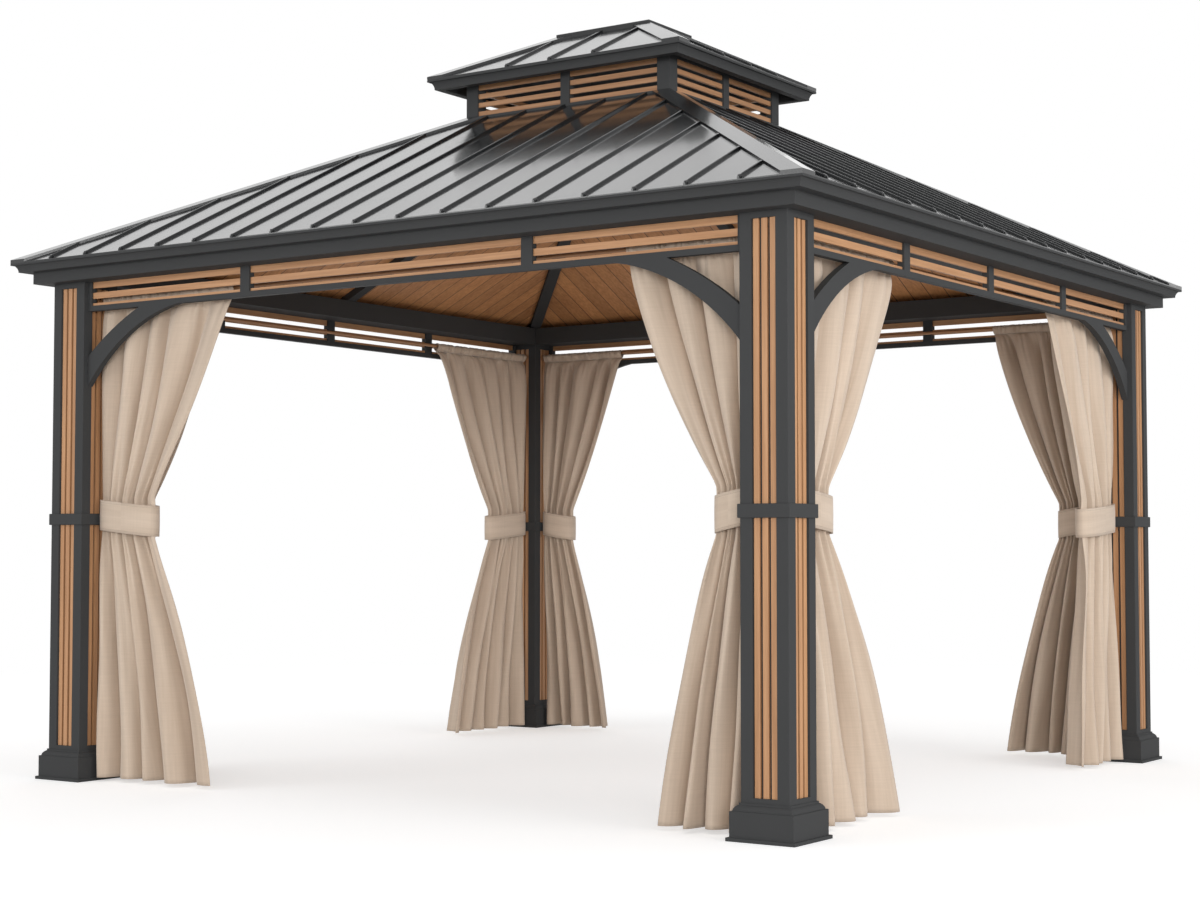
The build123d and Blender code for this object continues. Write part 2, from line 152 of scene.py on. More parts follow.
def addBump(tree, shader, height, strength, distance):
    bump = addNode(tree, "ShaderNodeBump")
    setInputs(bump, Strength=strength, Distance=distance)
    joinSockets(tree, (height, bump.inputs["Height"]), (bump.outputs[0], shader.inputs["Normal"]))


def smoothFaces(bm):
    for face in bm.faces:
        face.smooth = True


# one for the rays that see the surround as white: the camera's, reflected and transmitted ones
def seenRays(tree):
    path = addNode(tree, "ShaderNodeLightPath")
    seen = mathNode(tree, "MAXIMUM", path.outputs["Is Camera Ray"], path.outputs["Is Glossy Ray"])
    return mathNode(tree, "MAXIMUM", seen, path.outputs["Is Transmission Ray"])


# coated metal: slow mottling of the tone and the fine peel of baked powder
bakedCoat = {
    "slow": {"scale": 2.1, "detail": 4, "roughness": 0.55},
    "fine": {"scale": 260, "detail": 2, "roughness": 0.5},
    "grain": {"scale": 900, "detail": 1, "roughness": 0.5},
    "fleck": 0.16,
    "glossDrift": 0.14,
    "peelRoughness": 0.03,
    "peelDepth": 0.0006,
}


def makeCoatGroup():
    tree, given, made = newGroup(
        "bakedCoat",
        [("Vector", "vector"), ("Tone", "colour"), ("Mottle", "value"), ("Gloss", "value")],
        [("Colour", "colour"), ("Roughness", "value"), ("Height", "value")],
    )
    vector = given.outputs["Vector"]
    slow = noiseField(tree, vector, **bakedCoat["slow"])
    fine = noiseField(tree, vector, **bakedCoat["fine"])
    grain = noiseField(tree, vector, **bakedCoat["grain"])
    slowDrift = mathNode(tree, "SUBTRACT", slow, 0.5)  # either way from the middle
    grainDrift = mathNode(tree, "SUBTRACT", grain, 0.5)
    lift = mathNode(tree, "MULTIPLY_ADD", slowDrift, given.outputs["Mottle"], 1)
    fleck = mathNode(tree, "MULTIPLY_ADD", grainDrift, bakedCoat["fleck"], lift)
    tone = mixColour(tree, 1.0, given.outputs["Tone"], fleck, "MULTIPLY")
    rough = mathNode(tree, "MULTIPLY_ADD", slowDrift, bakedCoat["glossDrift"], given.outputs["Gloss"])
    joinSockets(
        tree,
        (tone, made.inputs["Colour"]),
        (mathNode(tree, "MULTIPLY_ADD", fine, bakedCoat["peelRoughness"], rough), made.inputs["Roughness"]),
        (fine, made.inputs["Height"]),
    )
    return tree


# wood: the vector's x runs along the grain
straightGrain = {
    "streaks": {"scale": 3, "detail": 6, "roughness": 0.62, "stretch": (0.55, 26, 26)},
    "pores": {"scale": 9, "detail": 3, "roughness": 0.6, "stretch": (1.4, 60, 60)},
    "broad": {"scale": 1.0, "detail": 3, "roughness": 0.5, "stretch": (0.35, 11, 11)},
    "streakRange": (0.32, 0.68),
    "streakShare": 0.62,
    "broadRange": (0.3, 0.7),
    "broadShare": 0.38,
    "poreRange": (0.3, 0.46),
    "poreTone": (0.84, 1),
    "poreDepth": 0.5,
    "roughRange": (0.3, 0.7),
    "roughness": (0.62, 0.48),
}


def makeGrainGroup():
    tree, given, made = newGroup(
        "straightGrain",
        [("Vector", "vector"), ("Pale", "colour"), ("Dark", "colour"), ("Tone", "value")],
        [("Colour", "colour"), ("Roughness", "value"), ("Height", "value")],
    )
    vector = given.outputs["Vector"]
    streaks = noiseField(tree, vector, **straightGrain["streaks"])
    pores = noiseField(tree, vector, **straightGrain["pores"])
    broad = noiseField(tree, vector, **straightGrain["broad"])
    streakLight = remap(tree, streaks, *straightGrain["streakRange"], 0, 1)
    broadLight = remap(tree, broad, *straightGrain["broadRange"], 0, 1)
    share = mathNode(tree, "MULTIPLY", streakLight, straightGrain["streakShare"])
    share = mathNode(tree, "MULTIPLY_ADD", broadLight, straightGrain["broadShare"], share)
    colour = mixColour(tree, share, given.outputs["Dark"], given.outputs["Pale"])
    poreTone = remap(tree, pores, *straightGrain["poreRange"], *straightGrain["poreTone"])
    poreTone = mathNode(tree, "MULTIPLY", poreTone, given.outputs["Tone"])
    rough = remap(tree, streaks, *straightGrain["roughRange"], *straightGrain["roughness"])
    joinSockets(
        tree,
        (mixColour(tree, 1.0, colour, poreTone, "MULTIPLY"), made.inputs["Colour"]),
        (rough, made.inputs["Roughness"]),
        (mathNode(tree, "MULTIPLY_ADD", pores, straightGrain["poreDepth"], streaks), made.inputs["Height"]),
    )
    return tree


# cloth: the vector is the cut cloth in metres
plainWeave = {
    "warpSlub": {"scale": 5, "detail": 4, "roughness": 0.6, "stretch": (34, 1.1, 1)},
    "weftSlub": {"scale": 5, "detail": 4, "roughness": 0.6, "stretch": (1.1, 34, 1)},
    "slubRange": (0.36, 0.64),
    "slubTone": (0.95, 1.035),
    "slubDepth": 1.2,
    "crossTone": (0.97, 1.02),
    # painted shade and painted light: soft random vertical streaks that darken and lighten the yarn,
    # standing in for the shading of the cloth's folds
    "streaks": {"scale": 2, "detail": 3, "roughness": 0.55, "stretch": (9, 0.6, 1)},
    "streakRange": (0.3, 0.7),
    "paintedShade": (0.87, 0.84, 0.81, 1),
    "paintedLight": (1.06, 1.06, 1.06, 1),
}


def makeWeaveGroup():
    tree, given, made = newGroup(
        "plainWeave",
        [("Vector", "vector"), ("Yarn", "colour"), ("Pitch", "value")],
        [("Colour", "colour"), ("Height", "value")],
    )
    parts = addNode(tree, "ShaderNodeSeparateXYZ")
    tree.links.new(given.outputs["Vector"], parts.inputs[0])
    turns = mathNode(tree, "DIVIDE", 2 * math.pi, given.outputs["Pitch"])
    warp = mathNode(tree, "SINE", mathNode(tree, "MULTIPLY", parts.outputs["X"], turns))
    weft = mathNode(tree, "SINE", mathNode(tree, "MULTIPLY", parts.outputs["Y"], turns))
    cross = mathNode(tree, "MULTIPLY_ADD", mathNode(tree, "MULTIPLY", warp, weft), 0.5, 0.5)
    warpSlub = noiseField(tree, given.outputs["Vector"], **plainWeave["warpSlub"])
    weftSlub = noiseField(tree, given.outputs["Vector"], **plainWeave["weftSlub"])
    slub = mathNode(tree, "MULTIPLY", mathNode(tree, "ADD", warpSlub, weftSlub), 0.5)
    tone = remap(tree, slub, *plainWeave["slubRange"], *plainWeave["slubTone"])
    tone = mathNode(tree, "MULTIPLY", tone, remap(tree, cross, 0, 1, *plainWeave["crossTone"]))
    # painted shade and light: vertical streaks darken and lighten the yarn in place of fold shading
    streaks = noiseField(tree, given.outputs["Vector"], **plainWeave["streaks"])
    streaks = remap(tree, streaks, *plainWeave["streakRange"], 0, 1)
    shade = mixColour(tree, streaks, plainWeave["paintedShade"], plainWeave["paintedLight"])
    yarn = mixColour(tree, 1.0, given.outputs["Yarn"], shade, "MULTIPLY")
    joinSockets(
        tree,
        (mixColour(tree, 1.0, yarn, tone, "MULTIPLY"), made.inputs["Colour"]),
        (mathNode(tree, "MULTIPLY_ADD", slub, plainWeave["slubDepth"], cross), made.inputs["Height"]),
    )
    return tree


# one on the left and right slopes, where the boards and louvres run the other way
def makeSideGroup():
    tree, given, made = newGroup("sideSlope", [("Vector", "vector")], [("Side", "value")])
    parts = addNode(tree, "ShaderNodeSeparateXYZ")
    tree.links.new(given.outputs["Vector"], parts.inputs[0])
    reachX = mathNode(tree, "SUBTRACT", mathNode(tree, "ABSOLUTE", parts.outputs["X"]), plan["halfX"])
    reachY = mathNode(tree, "SUBTRACT", mathNode(tree, "ABSOLUTE", parts.outputs["Y"]), plan["halfY"])
    joinSockets(tree, (mathNode(tree, "GREATER_THAN", reachX, reachY), made.inputs["Side"]))
    return tree


coatGroup = makeCoatGroup()
grainGroup = makeGrainGroup()
weaveGroup = makeWeaveGroup()
sideGroup = makeSideGroup()

coats = {
    "frameMetal": {
        "tone": (0.057, 0.058, 0.059, 1), "mottle": 0.10, "gloss": 0.60, "peel": 0.10, "specular": 0.03,
        "lacquer": 0.0, "lacquerRoughness": 0.10, "lacquerIor": 1.36,
    },
    "roofMetal": {
        "tone": (0.015, 0.016, 0.017, 1), "mottle": 0.18, "gloss": 0.20, "peel": 0.05, "specular": 0.22,
        "lacquer": 1.0, "lacquerRoughness": 0.10, "lacquerIor": 1.36,
    },
}


def makeCoat(name):
    coat = coats[name]
    material, tree, shader = newMaterial(name)
    place = addNode(tree, "ShaderNodeTexCoord")
    group = placeGroup(tree, coatGroup)
    setInputs(group, Tone=coat["tone"], Mottle=coat["mottle"], Gloss=coat["gloss"])
    joinSockets(
        tree,
        (place.outputs["Object"], group.inputs["Vector"]),
        (group.outputs["Colour"], shader.inputs["Base Color"]),
        (group.outputs["Roughness"], shader.inputs["Roughness"]),
    )
    shader.inputs["Specular IOR Level"].default_value = coat["specular"]
    shader.inputs["Coat Weight"].default_value = coat["lacquer"]
    shader.inputs["Coat Roughness"].default_value = coat["lacquerRoughness"]
    shader.inputs["Coat IOR"].default_value = coat["lacquerIor"]
    addBump(tree, shader, group.outputs["Height"], coat["peel"], bakedCoat["peelDepth"])
    return material


woods = {
    "slat": {"pale": (0.590, 0.315, 0.150, 1), "dark": (0.350, 0.165, 0.072, 1)},
    "louvre": {"pale": (0.480, 0.250, 0.118, 1), "dark": (0.280, 0.130, 0.056, 1)},
    "ceiling": {"pale": (0.660, 0.315, 0.125, 1), "dark": (0.385, 0.165, 0.063, 1)},
    "joint": (0.030, 0.014, 0.007, 1),
    "boardWidth": 0.1,
    "boardTone": (0.84, 1.12),
    "boardShift": 7,
    "jointHalf": 0.0035,
    "jointCore": 0.0007,
    "jointDepth": 4,
    "slatBump": (0.25, 0.0012),
    "boardBump": (0.35, 0.0015),
    "turns": {"x": (0, 0, 0), "y": (0, 0, math.pi / 2), "z": (0, math.pi / 2, 0)},
}


def turnedVector(tree, vector, turn):
    node = addNode(tree, "ShaderNodeMapping")
    node.inputs["Rotation"].default_value = turn
    tree.links.new(vector, node.inputs["Vector"])
    return node.outputs[0]


def sidewaysVector(tree, vector):
    side = placeGroup(tree, sideGroup)
    tree.links.new(vector, side.inputs[0])
    node = addNode(tree, "ShaderNodeMix", data_type="VECTOR")
    joinSockets(
        tree,
        (side.outputs["Side"], node.inputs[0]),
        (vector, node.inputs[4]),
        (turnedVector(tree, vector, woods["turns"]["y"]), node.inputs[5]),
    )
    return node.outputs[1]


def finishWood(tree, shader, vector, colours, tone):
    group = placeGroup(tree, grainGroup)
    setInputs(group, Pale=colours["pale"], Dark=colours["dark"], Tone=1.0)
    joinSockets(
        tree,
        (vector, group.inputs["Vector"]),
        (group.outputs["Roughness"], shader.inputs["Roughness"]),
    )
    if tone:
        tree.links.new(tone, group.inputs["Tone"])
    return group


def makeSlatWood(name, run, colours):
    material, tree, shader = newMaterial(name)
    place = addNode(tree, "ShaderNodeTexCoord").outputs["Object"]
    if run == "round":
        vector = sidewaysVector(tree, place)
    else:
        vector = turnedVector(tree, place, woods["turns"][run])
    group = finishWood(tree, shader, vector, woods[colours], None)
    tree.links.new(group.outputs["Colour"], shader.inputs["Base Color"])
    addBump(tree, shader, group.outputs["Height"], *woods["slatBump"])
    return material


# ceiling boards run up each slope, with a dark joint every board width
def makeCeilingWood(name):
    material, tree, shader = newMaterial(name)
    place = addNode(tree, "ShaderNodeTexCoord").outputs["Object"]
    along = sidewaysVector(tree, place)  # x along the wall on every slope
    parts = addNode(tree, "ShaderNodeSeparateXYZ")
    tree.links.new(along, parts.inputs[0])
    count = mathNode(tree, "DIVIDE", parts.outputs["X"], woods["boardWidth"])
    board = mathNode(tree, "FLOOR", count)
    inBoard = mathNode(tree, "SUBTRACT", count, board)
    toEdge = mathNode(tree, "MINIMUM", inBoard, mathNode(tree, "SUBTRACT", 1, inBoard))
    core, half = woods["jointCore"] / woods["boardWidth"], woods["jointHalf"] / woods["boardWidth"]
    joint = remap(tree, toEdge, core, half, 1, 0)
    chance = addNode(tree, "ShaderNodeTexWhiteNoise", noise_dimensions="1D")
    tree.links.new(board, chance.inputs["W"])
    shift = addNode(tree, "ShaderNodeCombineXYZ")
    slide = mathNode(tree, "MULTIPLY", chance.outputs[0], woods["boardShift"])
    joinSockets(tree, (slide, shift.inputs["X"]), (board, shift.inputs["Z"]))
    moved = addNode(tree, "ShaderNodeVectorMath", operation="ADD")
    upSlope = turnedVector(tree, along, woods["turns"]["y"])
    joinSockets(tree, (upSlope, moved.inputs[0]), (shift.outputs[0], moved.inputs[1]))
    tone = remap(tree, chance.outputs[0], 0, 1, *woods["boardTone"])
    group = finishWood(tree, shader, moved.outputs[0], woods["ceiling"], tone)
    colour = mixColour(tree, joint, group.outputs["Colour"], woods["joint"])
    tree.links.new(colour, shader.inputs["Base Color"])
    groove = mathNode(tree, "MULTIPLY_ADD", joint, -woods["jointDepth"], group.outputs["Height"])
    addBump(tree, shader, groove, *woods["boardBump"])
    return material


cloth = {
    "yarn": (0.600, 0.488, 0.389, 1),
    "thread": (0.400, 0.315, 0.245, 1),
    "pitch": 0.0016,
    "sheen": 0.25,
    "bandHeight": 0.134,
    "stitchInset": 0.010,
    "stitchHalf": 0.0012,
    "stitchCore": 0.00048,
    "stitchLength": 0.007,
    "stitchGap": (-0.8, -0.4),
    "stitchDepth": 2.5,
    "roughness": 0.88,
    "specular": 0.2,
    "bump": (0.12, 0.0005),
}


# a broken line of stitches along both long edges of a band
def stitchMask(tree, place):
    parts = addNode(tree, "ShaderNodeSeparateXYZ")
    tree.links.new(place, parts.inputs[0])
    fromFar = mathNode(tree, "SUBTRACT", cloth["bandHeight"], parts.outputs["Y"])
    toEdge = mathNode(tree, "MINIMUM", parts.outputs["Y"], fromFar)
    off = mathNode(tree, "ABSOLUTE", mathNode(tree, "SUBTRACT", toEdge, cloth["stitchInset"]))
    line = remap(tree, off, cloth["stitchCore"], cloth["stitchHalf"], 1, 0)
    turns = mathNode(tree, "MULTIPLY", parts.outputs["X"], 2 * math.pi / cloth["stitchLength"])
    dash = remap(tree, mathNode(tree, "SINE", turns), *cloth["stitchGap"], 0, 1)
    return mathNode(tree, "MULTIPLY", line, dash)


def makeCloth(name, turn, stitched):
    material, tree, shader = newMaterial(name)
    place = addNode(tree, "ShaderNodeTexCoord").outputs["UV"]
    group = placeGroup(tree, weaveGroup)
    setInputs(group, Yarn=cloth["yarn"], Pitch=cloth["pitch"])
    tree.links.new(turnedVector(tree, place, turn), group.inputs["Vector"])
    colour, height = group.outputs["Colour"], group.outputs["Height"]
    if stitched:
        mask = stitchMask(tree, place)
        colour = mixColour(tree, mask, colour, cloth["thread"])
        height = mathNode(tree, "MULTIPLY_ADD", mask, -cloth["stitchDepth"], height)
    tree.links.new(colour, shader.inputs["Base Color"])
    setInputs(shader, Roughness=cloth["roughness"])
    shader.inputs["Sheen Weight"].default_value = cloth["sheen"]
    shader.inputs["Specular IOR Level"].default_value = cloth["specular"]
    addBump(tree, shader, height, *cloth["bump"])
    return material


materials = {name: makeCoat(name) for name in coats}
materials["slatWoodX"] = makeSlatWood("slatWoodX", "x", "slat")
materials["slatWoodY"] = makeSlatWood("slatWoodY", "y", "slat")
materials["slatWoodZ"] = makeSlatWood("slatWoodZ", "z", "slat")
materials["louvreWood"] = makeSlatWood("louvreWood", "round", "louvre")
materials["ceilingWood"] = makeCeilingWood("ceilingWood")
materials["curtainCloth"] = makeCloth("curtainCloth", (0, 0, 0), False)
materials["tiebackCloth"] = makeCloth("tiebackCloth", (0, 0, math.pi / 2), True)
print("materials made:", len(materials))

# finishes of the frame's own pieces
slotFinish = {
    "frame_metal": "frameMetal",
    "roof_metal": "roofMetal",
    "slat_wood": "slatWoodX",
    "ceiling_wood": "ceilingWood",
    "curtain_fabric": "curtainCloth",
}
nodeFinish = {
    "frieze_slats_left": "slatWoodY",
    "frieze_slats_right": "slatWoodY",
    "post_slats": "slatWoodZ",
    "cupola_slats": "louvreWood",
    "curtain_rods": "louvreWood",
    "roof_cap_plate": "frameMetal",
}

for row in frame["record"]["subparts"]:
    finish = nodeFinish.get(row["node"], slotFinish[row["material_slot"]])
    nodes[row["node"]].data.materials.clear()
    nodes[row["node"]].data.materials.append(materials[finish])
print("frame finished")

# curtains: cloth gathered on a rod, drawn in by a tieback and falling free below it
curtains = {
    "rodSetback": 0.115,
    "rodHeight": 2.136,
    "header": 0.016,
    "pocketDrop": 0.030,
    "pocketReach": 0.0115,
    "gatherReach": 0.016,
    "gathersPerFold": 4,
    "gatherWander": (0.28, 0.37),
    "gatherFade": 0.09,
    "scallop": 0.011,
    "scallopFrom": 0.4,
    "tieTop": 1.248,
    "tieBottom": 1.073,
    "hemHeight": 0.017,
    "postGap": 0.0125,
    "hemGap": 0.047,
    "topDepth": 0.041,
    "waistDepth": 0.033,
    "hemDepth": 0.074,
    "depthReach": 0.30,
    "ridgePower": 0.62,
    "drifts": ((0.022, 0.8, 0.31, 1), (0.012, 2.1, -0.47, 2.3)),  # reach, turns along, turns down, seed
    "swellBase": 0.78,
    "swellReach": 0.22,
    "swellDown": 0.45,
    "swellAlong": 0.37,
    "rippleDepth": 0.004,
    "ripplesPerFold": 1.6,
    "ripplesDown": 1.3,
    "overhang": 0.075,
    "edgeDepth": 0.01,
    "growReach": 0.045,
    "waistReach": 0.15,
    "pleatReach": 0.34,
    "pleatDepth": 0.0080,
    "pleatPower": 1.5,
    "pleatsPerFold": 3.6,
    "pleatWander": (0.4, 0.7),
    "firstTurn": 0.22,
    "lastTurn": 0.58,
    "drawCurve": 0.30,
    "flareCurve": 0.55,
    "pocketRows": 18,
    "dropRows": 104,
    "rounding": 1e-6,
    "thickness": 0.0016,
    "wide": {"top": 0.812, "tie": 0.336, "hem": 0.670, "columns": 150, "flat": (1.15, 2.20)},
    "tight": {"top": 0.812, "tie": 0.291, "hem": 0.696, "columns": 150, "flat": (1.15, 2.20)},
    "loose": {"top": 0.812, "tie": 0.391, "hem": 0.470, "columns": 150, "flat": (1.15, 2.20)},
    "tucked": {"top": 0.640, "tie": 0.296, "hem": 0.440, "columns": 150, "flat": (1.00, 2.20)},
    "narrow": {"top": 0.542, "tie": 0.201, "hem": 0.426, "columns": 120, "flat": (0.84, 2.20)},
    "slim": {"top": 0.535, "tie": 0.146, "hem": 0.335, "columns": 120, "flat": (0.84, 2.20)},
    "hung": {
        ("front", "left"): {"size": "wide", "seed": 0.13, "face": -1},
        ("front", "right"): {"size": "slim", "seed": 0.42, "face": -1},
        ("right", "left"): {"size": "tight", "seed": 0.71, "face": -1},
        ("right", "right"): {"size": "loose", "seed": 0.27, "face": -1},
        ("back", "left"): {"size": "narrow", "seed": 0.88, "face": 1},
        ("back", "right"): {"size": "narrow", "seed": 0.55, "face": 1},
        ("left", "left"): {"size": "wide", "seed": 0.36, "face": 1},
        ("left", "right"): {"size": "tucked", "seed": 0.94, "face": 1},
    },
    "folds": {  # how wide each fold is beside the others
        ("front", "left"): (0.8, 1.1, 0.7, 1.2, 1.7),
        ("front", "right"): (0.9, 1.2, 0.8, 1.6),
        ("right", "left"): (1.0, 0.8, 1.2, 0.9, 1.5),
        ("right", "right"): (0.9, 1.2, 0.8, 1.1, 1.3),
        ("back", "left"): (0.9, 1.3, 0.8, 1.2, 1.0),
        ("back", "right"): (1.1, 0.8, 1.3, 0.9, 1.2),
        ("left", "left"): (1.2, 0.8, 1.1, 0.9, 1.0, 1.3),
        ("left", "right"): (0.9, 1.2, 0.8, 1.3, 1.2),
    },
}
pocketPath = [(0.1, -1.0), (0.75, -0.6), (1.0, 0.0), (0.82, 0.45), (0.5, 0.75), (0.25, 0.92), (0.0, 1.0)]


def clearHalf(wall):
    return wallHalf(wall) - plan["postWidth"]


def wave(turns):
    return math.sin(2 * math.pi * turns)


def curtainSpan(size, height):
    if height > curtains["tieTop"]:
        top = curtains["rodHeight"] + curtains["header"]
        rise = (height - curtains["tieTop"]) / (top - curtains["tieTop"])
        bow = rise + curtains["drawCurve"] * rise * (1 - rise)
        return curtains["postGap"], size["tie"] + (size["top"] - size["tie"]) * bow
    fall = max(0, curtains["tieBottom"] - height) / (curtains["tieBottom"] - curtains["hemHeight"])
    bow = fall + curtains["flareCurve"] * fall * (1 - fall)
    gap = curtains["postGap"] + (curtains["hemGap"] - curtains["postGap"]) * fall
    return gap, size["tie"] + (size["hem"] - size["tie"]) * bow


def foldDepth(height):
    if height > curtains["tieTop"]:
        share = min(1, (height - curtains["tieTop"]) / curtains["depthReach"])
        return curtains["waistDepth"] + (curtains["topDepth"] - curtains["waistDepth"]) * share
    share = max(0, curtains["tieBottom"] - height) / (curtains["tieBottom"] - curtains["hemHeight"])
    return curtains["waistDepth"] + (curtains["hemDepth"] - curtains["waistDepth"]) * share


# which fold a place along the cloth is in, how far through it, and the fold's share of the width
def foldAt(hung, u, height):
    shares, seed = hung["folds"], hung["seed"]
    drift = 0
    for reach, along, down, start in curtains["drifts"]:
        drift += reach * wave(along * u + down * height + start * seed)
    before = curtains["firstTurn"] * shares[0]
    total = sum(shares) - before - (1 - curtains["lastTurn"]) * shares[-1]
    place = before + (u + drift * math.sin(math.pi * u)) * total
    index = 0
    while index < len(shares) - 1 and place > shares[index]:
        place -= shares[index]
        index += 1
    return index, place / shares[index], shares[index] / total


def gatherAt(hung, u):
    index, turn, _ = foldAt(hung, u, curtains["rodHeight"])
    turns = curtains["gathersPerFold"] * (index + turn)
    reach, rate = curtains["gatherWander"]
    wander = reach * wave(rate * turns + 2 * hung["seed"])
    return math.sqrt(0.5 + 0.5 * wave(turns + hung["seed"] + wander))


# the pocket goes up behind the rod, over the header and down in front of it
def pocketPoint(hung, u, share):
    front = share > 0.5
    place = (1 - share if front else share) * 2 * (len(pocketPath) - 1)
    step = min(int(place), len(pocketPath) - 2)
    low, high = pocketPath[step], pocketPath[step + 1]
    reach = low[0] + (high[0] - low[0]) * (place - step)
    climb = low[1] + (high[1] - low[1]) * (place - step)
    gather = gatherAt(hung, u)
    out = reach * (curtains["pocketReach"] + curtains["gatherReach"] * gather)
    rise = climb * (curtains["header"] if climb > 0 else curtains["pocketDrop"])
    if climb > curtains["scallopFrom"]:
        rise -= curtains["scallop"] * (1 - gather) * (climb - curtains["scallopFrom"])
    return -out if front else out, curtains["rodHeight"] + rise


def dropPoint(hung, size, u, height):
    drop = max(0, curtains["rodHeight"] - curtains["pocketDrop"] - height)
    seed = hung["seed"]
    gap, width = curtainSpan(size, height)
    index, turn, share = foldAt(hung, u, height)
    turns = index + turn
    fromTie = height - (curtains["tieTop"] + curtains["tieBottom"]) / 2
    atWaist = math.exp(-((fromTie / curtains["waistReach"]) ** 2))
    nearTie = math.exp(-abs(fromTie / curtains["pleatReach"]) ** curtains["pleatPower"])
    grown = 1 - math.exp(-drop / curtains["growReach"])
    swell = wave(curtains["swellDown"] * height + curtains["swellAlong"] * index + seed)
    swell = curtains["swellBase"] + curtains["swellReach"] * swell
    ridge = ((1 - math.cos(2 * math.pi * turn)) / 2) ** curtains["ridgePower"]
    inside = 1 - atWaist * (1 - math.sqrt(max(curtains["edgeDepth"], 1 - (2 * u - 1) ** 2)))
    reach, rate = curtains["pleatWander"]
    pleat = wave(curtains["pleatsPerFold"] * turns + reach * wave(rate * turns + seed) + 5 * seed)
    ripple = wave(curtains["ripplesPerFold"] * turns + curtains["ripplesDown"] * height + 3 * seed)
    y = foldDepth(height) * ((1 + swell) * ridge - 1) * grown
    y += curtains["pleatDepth"] * nearTie * pleat
    y += curtains["rippleDepth"] * ripple * grown
    gathered = math.exp(-drop / curtains["gatherFade"])
    y -= 0.5 * curtains["gatherReach"] * (1 - 2 * gatherAt(hung, u)) * gathered
    along = gap + width * (u - curtains["overhang"] * share * wave(turn) * grown * (1 - atWaist))
    return along, hung["face"] * y * inside


# a flat grid with the cut cloth as its UV map
def clothGrid(columns, rows, flat):
    bm = bmesh.new()
    cut = bm.loops.layers.uv.new("cut")
    bmesh.ops.create_grid(bm, x_segments=columns, y_segments=rows, size=0.5)
    for face in bm.faces:
        for loop in face.loops:
            loop[cut].uv = ((loop.vert.co.x + 0.5) * flat[0], (loop.vert.co.y + 0.5) * flat[1])
    return bm


def hangCurtain(wall, side):
    hung = {"folds": curtains["folds"][wall, side], **curtains["hung"][wall, side]}
    size = curtains[hung["size"]]
    rows = curtains["pocketRows"] + curtains["dropRows"]
    bm = clothGrid(size["columns"], rows, size["flat"])
    pocketShare = curtains["pocketRows"] / rows
    stitch = curtains["rodHeight"] - curtains["pocketDrop"]
    for vert in bm.verts:
        u, v = vert.co.x + 0.5, 0.5 - vert.co.y
        if v <= pocketShare + curtains["rounding"]:
            gap, width = curtainSpan(size, curtains["rodHeight"])
            y, height = pocketPoint(hung, u, min(1, v / pocketShare))
            along = gap + width * u
        else:
            height = stitch + (curtains["hemHeight"] - stitch) * (v - pocketShare) / (1 - pocketShare)
            along, y = dropPoint(hung, size, u, height)
        sign = sideSigns[side]
        vert.co = (sign * (clearHalf(wall) - along), curtains["rodSetback"] + y, height)
    if sideSigns[side] > 0:
        bmesh.ops.reverse_faces(bm, faces=bm.faces)
    bmesh.ops.transform(bm, matrix=wallFrame(wall), verts=bm.verts)
    smoothFaces(bm)
    piece = addPiece(f"cloth_{wall}_{side}", bm, materials["curtainCloth"])
    skin = piece.modifiers.new("thickness", "SOLIDIFY")
    skin.thickness, skin.offset = curtains["thickness"], 0
    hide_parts(f"curtain_{wall}_{side}")
    return piece


# tiebacks: a flat band of the same cloth round each waist, dropping a little away from the post
tiebacks = {
    "height": cloth["bandHeight"],
    "room": 0.003,
    "depth": 0.094,
    "lift": 0.012,
    "sag": 0.020,
    "belly": 0.002,
    "fullness": 0.78,
    "thickness": 0.0025,
    "rows": 8,
    "steps": 120,
    "fineSteps": 960,
    "mergeReach": 0.0002,
}


def fuller(value):
    return math.copysign(abs(value) ** tiebacks["fullness"], value)


def waistPoints(width, depth, count):
    places, lengths = [], [0]
    for step in range(tiebacks["fineSteps"] + 1):
        turn = 2 * math.pi * step / tiebacks["fineSteps"]
        places.append(Vector((-width / 2 * fuller(math.sin(turn)), -depth / 2 * fuller(math.cos(turn)))))
    for first, second in zip(places, places[1:]):
        lengths.append(lengths[-1] + (second - first).length)
    points, index = [], 0
    for step in range(count + 1):
        goal = lengths[-1] * step / count
        while index < len(lengths) - 2 and lengths[index + 1] < goal:
            index += 1
        share = (goal - lengths[index]) / (lengths[index + 1] - lengths[index])
        points.append(places[index].lerp(places[index + 1], share))
    return points, lengths[-1]


def tieCurtain(wall, side, curtain):
    size = curtains[curtains["hung"][wall, side]["size"]]
    width, depth = size["tie"] + 2 * tiebacks["room"], tiebacks["depth"] + 2 * tiebacks["room"]
    points, around = waistPoints(width, depth, tiebacks["steps"])
    bm = clothGrid(tiebacks["steps"], tiebacks["rows"], (around, tiebacks["height"]))
    sign = sideSigns[side]
    middle = sign * (clearHalf(wall) - curtains["postGap"] - size["tie"] / 2)
    centre = (curtains["tieTop"] + curtains["tieBottom"]) / 2
    for vert in bm.verts:
        x, y = points[round((vert.co.x + 0.5) * tiebacks["steps"])]
        climb = vert.co.y
        bulge = tiebacks["belly"] * (1 - 4 * climb * climb)
        fromPost = 0.5 - sign * x / width
        height = centre + climb * tiebacks["height"] + tiebacks["lift"]
        height -= (tiebacks["lift"] + tiebacks["sag"]) * fromPost
        x, y = x * (1 + bulge / width), y * (1 + bulge / depth)
        vert.co = (middle + x, curtains["rodSetback"] + y, height)
    bmesh.ops.remove_doubles(bm, verts=bm.verts, dist=tiebacks["mergeReach"])
    bmesh.ops.recalc_face_normals(bm, faces=bm.faces)
    bmesh.ops.transform(bm, matrix=wallFrame(wall), verts=bm.verts)
    smoothFaces(bm)
    piece = addPiece(f"tieback_{wall}_{side}", bm, materials["tiebackCloth"])
    skin = piece.modifiers.new("thickness", "SOLIDIFY")
    skin.thickness, skin.offset = tiebacks["thickness"], 0
    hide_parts("tiebacks")


for wall, side in curtains["hung"]:
    tieCurtain(wall, side, hangCurtain(wall, side))
print("curtains hung:", len(curtains["hung"]))

